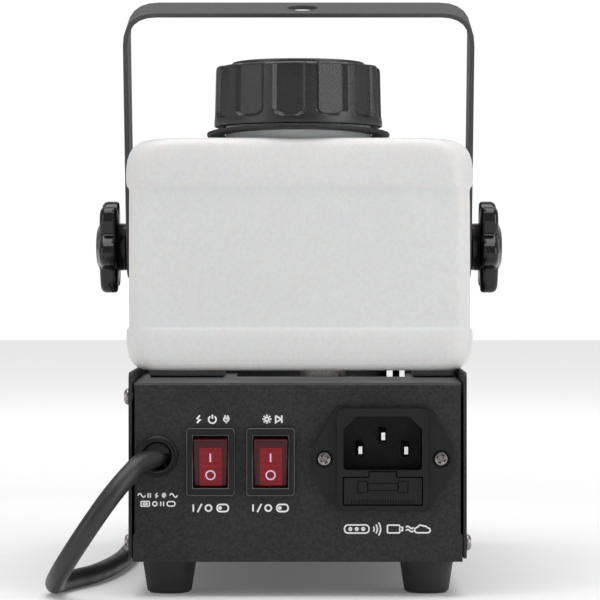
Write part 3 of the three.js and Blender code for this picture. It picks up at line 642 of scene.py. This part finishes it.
def make_bottle():
    """The blow-moulded bottle: a threaded neck, and a waist between bands at its foot and shoulder."""
    foot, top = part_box("tank")[0].z / MM, 142.85
    # Each level: its height, its inset across and in depth, and the radius of its corners.
    levels = [
        (foot, 8, 3.4, 4), (foot + 0.2, 5.6, 1.9, 5.5), (foot + 0.9, 3.6, 1.0, 6.8),
        (foot + 2.1, 2.1, 0.5, 7.6), (foot + 4.1, 0.9, 0.2, 8.2), (foot + 6.8, 0.25, 0.05, 8.5),
        (foot + 9.8, 0, 0, 8.5), (82.3, 0.05, 0.05, 8.4),
        (83.0, 0.3, 0.3, 7.6), (83.4, 0.75, 0.7, 6.4), (83.75, 1.0, 0.9, 5.6), (84.6, 1.05, 0.95, 5.2),
        (86, 1.0, 0.9, 5.2),
    ]
    levels += [(z, 0.95, 0.9, 5.2) for z in range(90, 124, 4)]
    levels += [
        (124.6, 1.0, 0.9, 5.2), (126.2, 1.0, 0.9, 5.4), (127.0, 0.85, 0.8, 6), (127.45, 0.45, 0.45, 7),
        (128, 0.1, 0.1, 8), (129, -0.1, -0.02, 8.8), (131.3, -0.2, -0.05, 9.4), (133.6, -0.1, -0.05, 9.6),
        (136.2, 0.25, 0.1, 9.8),
        (138.3, 0.9, 0.3, 10), (140, 2.0, 0.7, 10.2), (141.2, 3.4, 1.3, 10.4), (142.1, 5.2, 2.1, 10.4),
        (142.6, 7.2, 3.1, 10.4), (142.78, 9.6, 3.9, 10.4), (top, 12.5, 4.6, 10.4),
    ]
    rings = [ring_at(ix, iy, r, z) for z, ix, iy, r in levels]
    angles = [math.atan2(p.y - at(0, NECK_DEPTH, 0).y, p.x) for p in rings[-1]]

    def circle(radius, z):
        return [at(radius * math.cos(a), NECK_DEPTH + radius * math.sin(a), z) for a in angles]

    rings += [circle(23.9, top + 0.1), circle(23.45, top + 0.6), circle(23.3, top + 1.6)]
    for turn in range(3):
        z = 147.9 + 4.2 * turn
        rings += [circle(23.2, z), circle(23.75, z + 0.8), circle(23.75, z + 1.4), circle(23.2, z + 2.2)]
    lip = ((23.2, 162.1), (22.9, 162.8), (22.3, 163), (21.6, 162.8), (21.4, 162.1))
    rings += [circle(radius, z) for radius, z in lip]
    rings += [circle(21.4, z) for z in (154, 146, 142.5)]
    inner = [(140.5, 16, 7, 8), (138, 8, 5, 8), (134, 3.4, 2.8, 7.5), (127, 2.9, 2.8, 5), (100, 2.9, 2.8, 4),
             (83, 2.9, 2.8, 4), (foot + 4.5, 3, 2.8, 6), (foot + 2.4, 7, 6, 4)]
    rings += [ring_at(ix, iy, r, z) for z, ix, iy, r in inner]
    add_piece("bottle", *loft(rings), "bottle", slot="bottle_plastic", replaces=["tank"], sharp=60)


def make_cap():
    """The screw cap: twelve scooped flutes that run out above a plain foot, and a raised disc on top."""
    low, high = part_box("tank_cap")
    foot, head, rim = low.z / MM, 26.45, high.z / MM - 1.4
    scoops, depth, width, end = 12, 1.5, math.radians(11.6), 2.6

    def outer(radius, z, share=1.0):
        ring = []
        for i in range(scoops * 24):
            angle = TAU * i / (scoops * 24)
            phase = (angle - math.radians(264.5) + math.pi / scoops) % (TAU / scoops) - math.pi / scoops
            fade = max(0, (foot + 2.6 + end - z) / end)
            bowl = 1 - (phase / width) ** 4 - fade ** 2
            dip = depth * share * max(0, min(1, bowl * 2.2)) if fade < 1 else 0
            dip *= 1 - 0.35 * (phase / width) ** 2
            x, y = (radius - dip) * math.cos(angle), NECK_DEPTH + (radius - dip) * math.sin(angle)
            ring.append(at(x, y, z))
        return ring

    edge = ((24.25, foot + 0.1), (26.4, foot), (26.85, foot + 0.25), (26.95, foot + 0.7), (26.9, foot + 2.2))
    rings = [outer(r, z, 0) for r, z in edge]
    z = foot + 2.4
    while z < rim - 1.3:
        rings.append(outer(26.9 - (26.9 - head) * (z - foot) / (rim - foot), z))
        z += 0.45 if z < foot + 7 else 1.6
    corner = ((0.02, 1.2, 1), (0.12, 0.75, 0.95), (0.4, 0.35, 0.85), (0.85, 0.1, 0.7), (1.5, 0, 0.5))
    for inset, drop, share in corner:
        rings.append(outer(head - inset, rim - drop, share))
    disc = ((22.6, 0), (21.5, 0), (21.3, 0.15), (21.25, 0.9), (21.0, 1.2), (20.5, 1.3), (12, 1.3), (4, 1.3))
    for r, rise in disc:
        rings.append(outer(r, min(rim + rise, high.z / MM), 0))
    hollow = rim - 2.1
    inside = ((4, hollow), (22, hollow), (24, hollow - 0.2), (24.25, hollow - 0.9), (24.25, foot + 0.1))
    ceiling = [outer(r, z, 0) for r, z in inside]
    verts, faces = loft(rings, (False, True))
    more, extra = loft(ceiling, (True, False))
    faces = faces + [tuple(i + len(verts) for i in f) for f in extra]
    add_piece("bottle_cap", verts + more, faces, "cap", "cap", "cap_plastic", ["tank_cap"], 32)


# ---------------------------------------------------------------- knobs, feet and screws
def make_knob(side, sign):
    """A six-lobed clamping knob with a domed face."""
    lobes, first = 6, math.radians(20)

    def lobed(inset, x, towards=0.0, circle=7.0):
        ring = []
        for i in range(144):
            angle = TAU * i / 144
            wave = (1 + math.cos(lobes * (angle - first))) / 2
            r = 12.0 + 4.2 * wave ** 0.72 - inset
            r = r + (circle - r) * towards
            ring.append(Vector((sign * x, r * math.sin(angle), r * math.cos(angle))) * MM)
        return ring

    collar = ((57.95, 4.4), (57.95, 7.4), (58.3, 7.9), (60.5, 8), (60.8, 8.3))
    rings = [lobed(0, x, 1, radius) for x, radius in collar]
    rim = ((1.5, 60.8), (0.7, 60.9), (0.2, 61.25), (0, 61.8), (0, 63.2), (0, 64.6), (0.15, 65.3), (0.5, 65.9),
           (1.1, 66.35), (1.9, 66.58))
    rings += [lobed(inset, x) for inset, x in rim]
    rings += [lobed(0, x, t, 7.5) for x, t in ((66.66, 0.35), (66.7, 0.6), (66.85, 0.85), (67.2, 1.0))]
    rings += [lobed(0, x, 1, c) for x, c in ((67.75, 6.6), (68.1, 5.4), (68.25, 4.0), (68.3, 2.0))]
    place = Matrix.Translation(at(0, PIVOT_DEPTH, PIVOT_HEIGHT))
    body = f"{side}_knob"
    add_piece(f"{side}_clamp_knob", *loft(rings), "knob", body, "knob_plastic", [body], 50, place)


def make_foot(name):
    """A tapered rubber foot with its steel fixing screw up inside the recess."""
    low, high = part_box(name)
    top = high.z / MM
    profile = [(0, 4.4), (3.3, 4.4), (3.5, 4.0), (3.5, 0.9), (4.1, 0.15), (5.2, 0), (6.2, 0.15), (6.9, 0.7),
               (7.1, 1.4), (8.4, top - 0.9), (8.6, top - 0.35), (8.55, top), (0, top)]
    middle = (low + high) / 2
    place = Matrix.Translation((middle.x, middle.y, 0))
    add_piece(name + "_rubber", *lathe(profile, 48), "rubber", slot="foot_rubber", replaces=[name], sharp=50,
              matrix=place)
    facing_down = basis((1, 0, 0), (0, -1, 0), (0, 0, -1), (middle.x, middle.y, 4.3 * MM))
    make_screw(name + "_fixing", 2.6, 1.3, facing_down, "zinc")


def make_screw(name, radius, height, place, look, replaces=()):
    """A domed screw head with a cross recess, its underside at the matrix's origin."""
    shank, sunk = radius * 0.55, -1.2
    profile = [(0, sunk), (shank, sunk), (shank, 0), (radius * 0.97, 0), (radius, height * 0.16),
               (radius * 0.97, height * 0.45), (radius * 0.82, height * 0.8), (radius * 0.55, height * 0.96),
               (0, height)]
    head = raw_object(name, *lathe(profile, 40))
    arm, thick, sink = radius * 0.68, radius * 0.2, height * 0.85
    cross = [(thick, arm), (-thick, arm), (-thick, thick), (-arm, thick), (-arm, -thick), (-thick, -thick),
             (-thick, -arm), (thick, -arm), (thick, -thick), (arm, -thick), (arm, thick), (thick, thick)]
    low = [Vector((x * 0.6, y * 0.6, height - sink)) * MM for x, y in cross]
    high = [Vector((x * 1.1, y * 1.1, height + 0.3)) * MM for x, y in cross]
    cut(head, raw_object(name + "_recess", *loft([low, high])))
    finish_piece(head, look, "housing", replaces, 30, place)


def make_side_screw(name):
    """A screw head on a side panel; the angle of its recess goes with its depth, so that they differ."""
    low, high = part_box(name)
    head, radians_a_metre = 1.7 * MM, 90
    outward = -1 if low.x < 0 else 1
    seat = low.x + head if outward < 0 else high.x - head
    middle = Vector((seat, (low.y + high.y) / 2, (low.z + high.z) / 2))
    c, s = math.cos(high.y * radians_a_metre), math.sin(high.y * radians_a_metre)
    place = basis((0, c, s), (0, -outward * s, outward * c), (outward, 0, 0), middle)
    make_screw(name + "_head", 2.55, 1.6, place, "nickel", [name])


def make_inlet_screw(name, angle):
    """A screw head beside the mains inlet, its recess turned by an angle in radians."""
    low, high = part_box(name)
    middle = Vector(((low.x + high.x) / 2, low.y + 1.3 * MM, (low.z + high.z) / 2))
    c, s = math.cos(angle), math.sin(angle)
    place = basis((c, 0, s), (-s, 0, c), (0, -1, 0), middle)
    make_screw(name + "_head", 2.35, 1.25, place, "nickel", [name])


def make_inlet_pin(name):
    """A flat inlet pin that tapers at its end, with a pale plate on its tip that is a painted glint."""
    low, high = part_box(name)
    half = (high - low) / 2 / MM
    place = basis(*FACING_REAR, Vector(((low.x + high.x) / 2, low.y, (low.z + high.z) / 2)))
    slim = ((half.x, half.z, -2 * half.y), (half.x, half.z, -1.5), (half.x - 0.1, half.z - 0.3, -0.9),
            (half.x - 0.4, half.z - 0.8, -0.15), (half.x - 0.5, half.z - 0.9, 0))
    rings = [[Vector((p.x, p.y, z)) * MM for p in rounded_rect(x, y, 0.12, 2)] for x, y, z in slim]
    add_piece(name + "_blade", *loft(rings), "nickel", slot="zinc_steel", replaces=[name], sharp=40,
              matrix=place)
    # The pale plate on the tip is a painted glint.
    tip = prism(rounded_rect(half.x - 0.42, half.z - 0.85, 0.1, 2), -0.02, 0.05)
    add_piece(name + "_tip", *tip, "bright", slot="zinc_steel", matrix=place)


for side, sign in (("left", -1), ("right", 1)):
    make_knob(side, sign)
    for end in ("back", "front"):
        make_foot(f"{side}_{end}_foot")
for name in [n for n in nodes if n.endswith("_screw") and not n.startswith("inlet")]:
    make_side_screw(name)
make_inlet_screw("inlet_left_screw", 0.5)
make_inlet_screw("inlet_right_screw", 1.15)
for name in ("inlet_earth_pin", "inlet_line_pin", "inlet_neutral_pin"):
    make_inlet_pin(name)
make_bottle()
make_cap()


# ---------------------------------------------------------------- rocker switches
def make_rocker(name):
    """A red lens with a dotted red plate in it, marked with a bar and a ring, tipped to its off position."""
    low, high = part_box(name)
    x, tilt = (low.x + high.x) / 2 / MM, math.radians(12)
    c, t = math.cos(tilt), math.sin(tilt)
    # Local x along the panel, local y up along the rocker's face, local z out of it.
    place = basis((1, 0, 0), (0, -t, c), (0, -c, -t), at(x, 0.4, SWITCH_HEIGHT))
    half = (high.x - low.x) / 2 / MM + 0.2

    def face(inset):
        return rounded_rect(half - inset, 7.55 - inset, 0.5, 3, 1, 1)

    slot = "rocker_red"
    add_piece(name + "_lens", *soft_prism(face, -4.5, 2.45, 0.55, 4), "rocker", name, slot, [name], 40, place)
    plate = prism(rounded_rect(half - 1.8, 6.0, 0.25, 3), 2.3, 2.53)
    inlay = place @ Matrix.Translation((0.1 * MM, -0.9 * MM, 0))
    add_piece(name + "_plate", *plate, "grid", name, slot, matrix=inlay)
    bar = prism([(-0.23, 0.6), (0.23, 0.6), (0.23, 3.3), (-0.23, 3.3)], 2.45, 2.6)
    add_piece(name + "_bar", *bar, "mark", name, slot, matrix=place)
    hoop = [(1.18, 2.45), (1.58, 2.45), (1.58, 2.6), (1.18, 2.6), (1.18, 2.45)]
    below = place @ Matrix.Translation((0, -3.6 * MM, 0))
    add_piece(name + "_ring", *lathe(hoop, 40), "mark", name, slot, matrix=below)


make_rocker("power_rocker")
make_rocker("led_rocker")


# ---------------------------------------------------------------- cable gland
def make_gland():
    """A round gland whose upper half a wedge fills; the lead comes out below the wedge."""
    low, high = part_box("cable_gland")
    middle = Vector(((low.x + high.x) / 2, PANEL, (low.z + high.z) / 2))
    place = basis(*FACING_REAR, middle)
    front = (PANEL - low.y) / MM
    profile = [(5.1, -6), (5.1, 0.3), (6.4, 0.3), (6.45, 0.9), (6.1, 1.4), (5.7, 1.7), (5.55, front - 0.5),
               (5.3, front - 0.1), (4.9, front), (4.55, front - 0.25), (4.45, front - 0.9), (4.4, -6),
               (5.1, -6)]
    add_piece("gland_ring", *lathe(profile, 64), "moulding", slot="switch_plastic", replaces=["cable_gland"],
              sharp=30, matrix=place)
    bore, radius, chord = 4.4, 4.35, 0.9
    start = math.asin(chord / bore)
    angles = [start + (math.pi - 2 * start) * i / 24 for i in range(25)]
    arc = [(radius * math.cos(a), radius * math.sin(a)) for a in angles]

    def half_moon(inset):
        return [Vector(p) * (1 - inset / radius) + Vector((0, inset * 0.25)) for p in arc]

    wedge = soft_prism(half_moon, -6, front - 0.7, 0.5)
    add_piece("gland_wedge", *wedge, "moulding", slot="switch_plastic", sharp=35, matrix=place)


make_gland()


# ---------------------------------------------------------------- printed symbols
def ribbon(points, width, thick=0.07, closed=False):
    """A flat line of one width along points, in millimetres, standing a hair above its ground."""
    count = len(points)
    left, right = [], []
    for i, p in enumerate(points):
        before = points[i - 1] if i or closed else p
        after = points[(i + 1) % count] if i < count - 1 or closed else p
        along = (Vector(after) - Vector(before)).normalized()
        normal = Vector((-along.y, along.x))
        before_turn = (Vector(p) - Vector(before)).normalized() if i or closed else along
        reach = width / 2 / max(0.5, abs(before_turn.dot(along)))
        left.append(Vector(p) + normal * reach)
        right.append(Vector(p) - normal * reach)
    rings = [
        [Vector((*r, 0)) * MM, Vector((*l, 0)) * MM, Vector((*l, thick)) * MM, Vector((*r, thick)) * MM]
        for l, r in zip(left, right)
    ]
    if closed:
        return loft([*rings, rings[0]], (False, False))
    return loft(rings)


def arc_points(x, y, radius, start, stop, steps=24):
    """Points along an arc, its start and stop in degrees."""
    return [(x + radius * math.cos(math.radians(a)), y + radius * math.sin(math.radians(a)))
            for a in (start + (stop - start) * i / steps for i in range(steps + 1))]


def print_symbol(name, x, z, strokes, width=0.42, look="paint", body="housing", depth=0.0):
    """Prints a symbol on the control side: strokes are (points, closed) in millimetres round its middle."""
    verts, faces = [], []
    for points, closed in strokes:
        more, extra = ribbon(points, width, closed=closed)
        faces += [tuple(i + len(verts) for i in f) for f in extra]
        verts += more
    origin = at(x, depth - 0.01, z)
    slot = "powder_coat" if look == "paint" else "switch_plastic"
    add_piece(name, verts, faces, look, body, slot, sharp=30, matrix=basis(*FACING_REAR, origin))


def ring(x, y, r):
    return arc_points(x, y, r, 0, 360 - 15, 23), True


def line(*points):
    return list(points), False


def box(x, y, half_x, half_y, radius=0.3):
    return [(p.x + x, p.y + y) for p in rounded_rect(half_x, half_y, radius, 5)], True


def bolt(x, y, s):
    return line((x + 0.45 * s, y + 1.2 * s), (x - 0.5 * s, y + 0.05 * s), (x + 0.5 * s, y - 0.05 * s),
                (x - 0.45 * s, y - 1.2 * s))


def plug(x, y, s):
    bowl = arc_points(x, y + 0.1 * s, 0.8 * s, 190, 350, 8)
    cup = [(x - 0.8 * s, y + 0.3 * s), *bowl, (x + 0.8 * s, y + 0.3 * s)]
    prongs = [line((x + dx * s, y + 0.4 * s), (x + dx * s, y + 1.2 * s)) for dx in (-0.4, 0.4)]
    return [(cup, True), *prongs, line((x, y - 0.7 * s), (x, y - 1.25 * s))]


def wave(x, y, half, tall):
    return line(*[(x + half * (i / 10 - 1), y + tall * math.sin(i / 10 * math.pi)) for i in range(21)])


def cloud(x, y):
    arcs = ((-1.6, -0.35, 0.8, 270, 100), (-0.5, 0.25, 0.95, 150, 50), (0.8, 0.15, 0.75, 100, 25),
            (1.7, -0.4, 0.75, 80, -90))
    return [p for cx, cy, r, start, stop in arcs for p in arc_points(x + cx, y + cy, r, start, stop, 6)], True


power = [bolt(-4.3, 0, 1), (arc_points(0, -0.1, 1.15, 125, 415), False), line((0, 0.1), (0, 1.4)),
         *plug(4.3, 0, 1)]
lamp = [ring(-1.7, 0, 0.6), line((1.0, 1.1), (1.0, -1.1), (2.7, 0), (1.0, 1.1)),
        line((2.9, 1.15), (2.9, -1.15))]
lamp += [line((-1.7 + 0.95 * math.cos(a), 0.95 * math.sin(a)), (-1.7 + 1.4 * math.cos(a), 1.4 * math.sin(a)))
         for a in (TAU * i / 8 for i in range(8))]
on_off = [line((-5.3, -1.1), (-5.3, 1.1)), line((-4.0, -1.3), (-2.7, 1.3)), ring(-0.6, 0, 0.95),
          box(3.8, 0, 1.75, 1.1, 1.0), ring(3.0, 0, 0.3)]
mains_row = [wave(-5.0, 0, 1.2, 0.6), line((-3.0, -0.7), (-3.0, 0.7)), line((-2.3, -0.7), (-2.3, 0.7)),
             bolt(-0.4, 0, 0.65), *plug(1.9, 0, 0.65), wave(4.9, 0, 1.2, 0.6)]
class_row = [box(-3.9, 0, 1.3, 0.75, 0.15), box(-3.9, 0, 0.6, 0.25, 0.1), ring(-0.9, 0, 0.65),
             line((0.9, -0.7), (0.9, 0.7)), line((1.8, -0.7), (1.8, 0.7)), box(4.1, 0, 1.2, 0.7, 0.6)]
remote = [box(-9.2, 0, 3.8, 1.25, 1.1), ring(-11.2, 0, 0.4), ring(-9.2, 0, 0.4), ring(-7.2, 0, 0.4)]
remote += [(arc_points(-5.0, 0, r, -38, 38, 8), False) for r in (1.2, 2.2, 3.2)]
remote += [box(2.2, 0, 1.9, 1.2), line((4.1, 0.5), (5.0, 0.5), (5.0, -0.5), (4.1, -0.5)),
           wave(7.2, 0.5, 1.2, 0.35), wave(7.2, -0.5, 1.2, 0.35), cloud(11.1, 0)]
for name, x in (("power", -27.0), ("led", -8.5)):
    print_symbol(f"{name}_on_off_symbol", x, 27.7, on_off, 0.5)
print_symbol("power_symbol", -26.4, 55.2, power, 0.5)
print_symbol("led_symbol", -7.8, 55.2, lamp, 0.5)
print_symbol("mains_symbols", -43.3, 31.6, mains_row, 0.36)
print_symbol("class_symbols", -43.3, 29.0, class_row, 0.36)
print_symbol("remote_symbol", 27.5, 21.2, remote, 0.45)

# Raised on the fuse drawer: a fuse, and a row of grip ribs, drawn near-black as painted shade.
low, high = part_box("fuse_drawer")
fuse_sign = [box(-4.6 - 1.65, 0, 1.5, 1.8, 0.2), box(4.6 + 1.65, 0, 1.5, 1.8, 0.2), box(0, 0, 4.6, 1.1, 0.1)]
fuse_sign += [line((-9.6 + 0.8 * i, -5.3), (-9.6 + 0.8 * i, -3.9)) for i in range(25)]
print_symbol("fuse_drawer_sign", (low.x + high.x) / 2 / MM, 34.4, fuse_sign, 0.28, look="recess",
             body="fuse_drawer", depth=(low.y - PANEL) / MM)
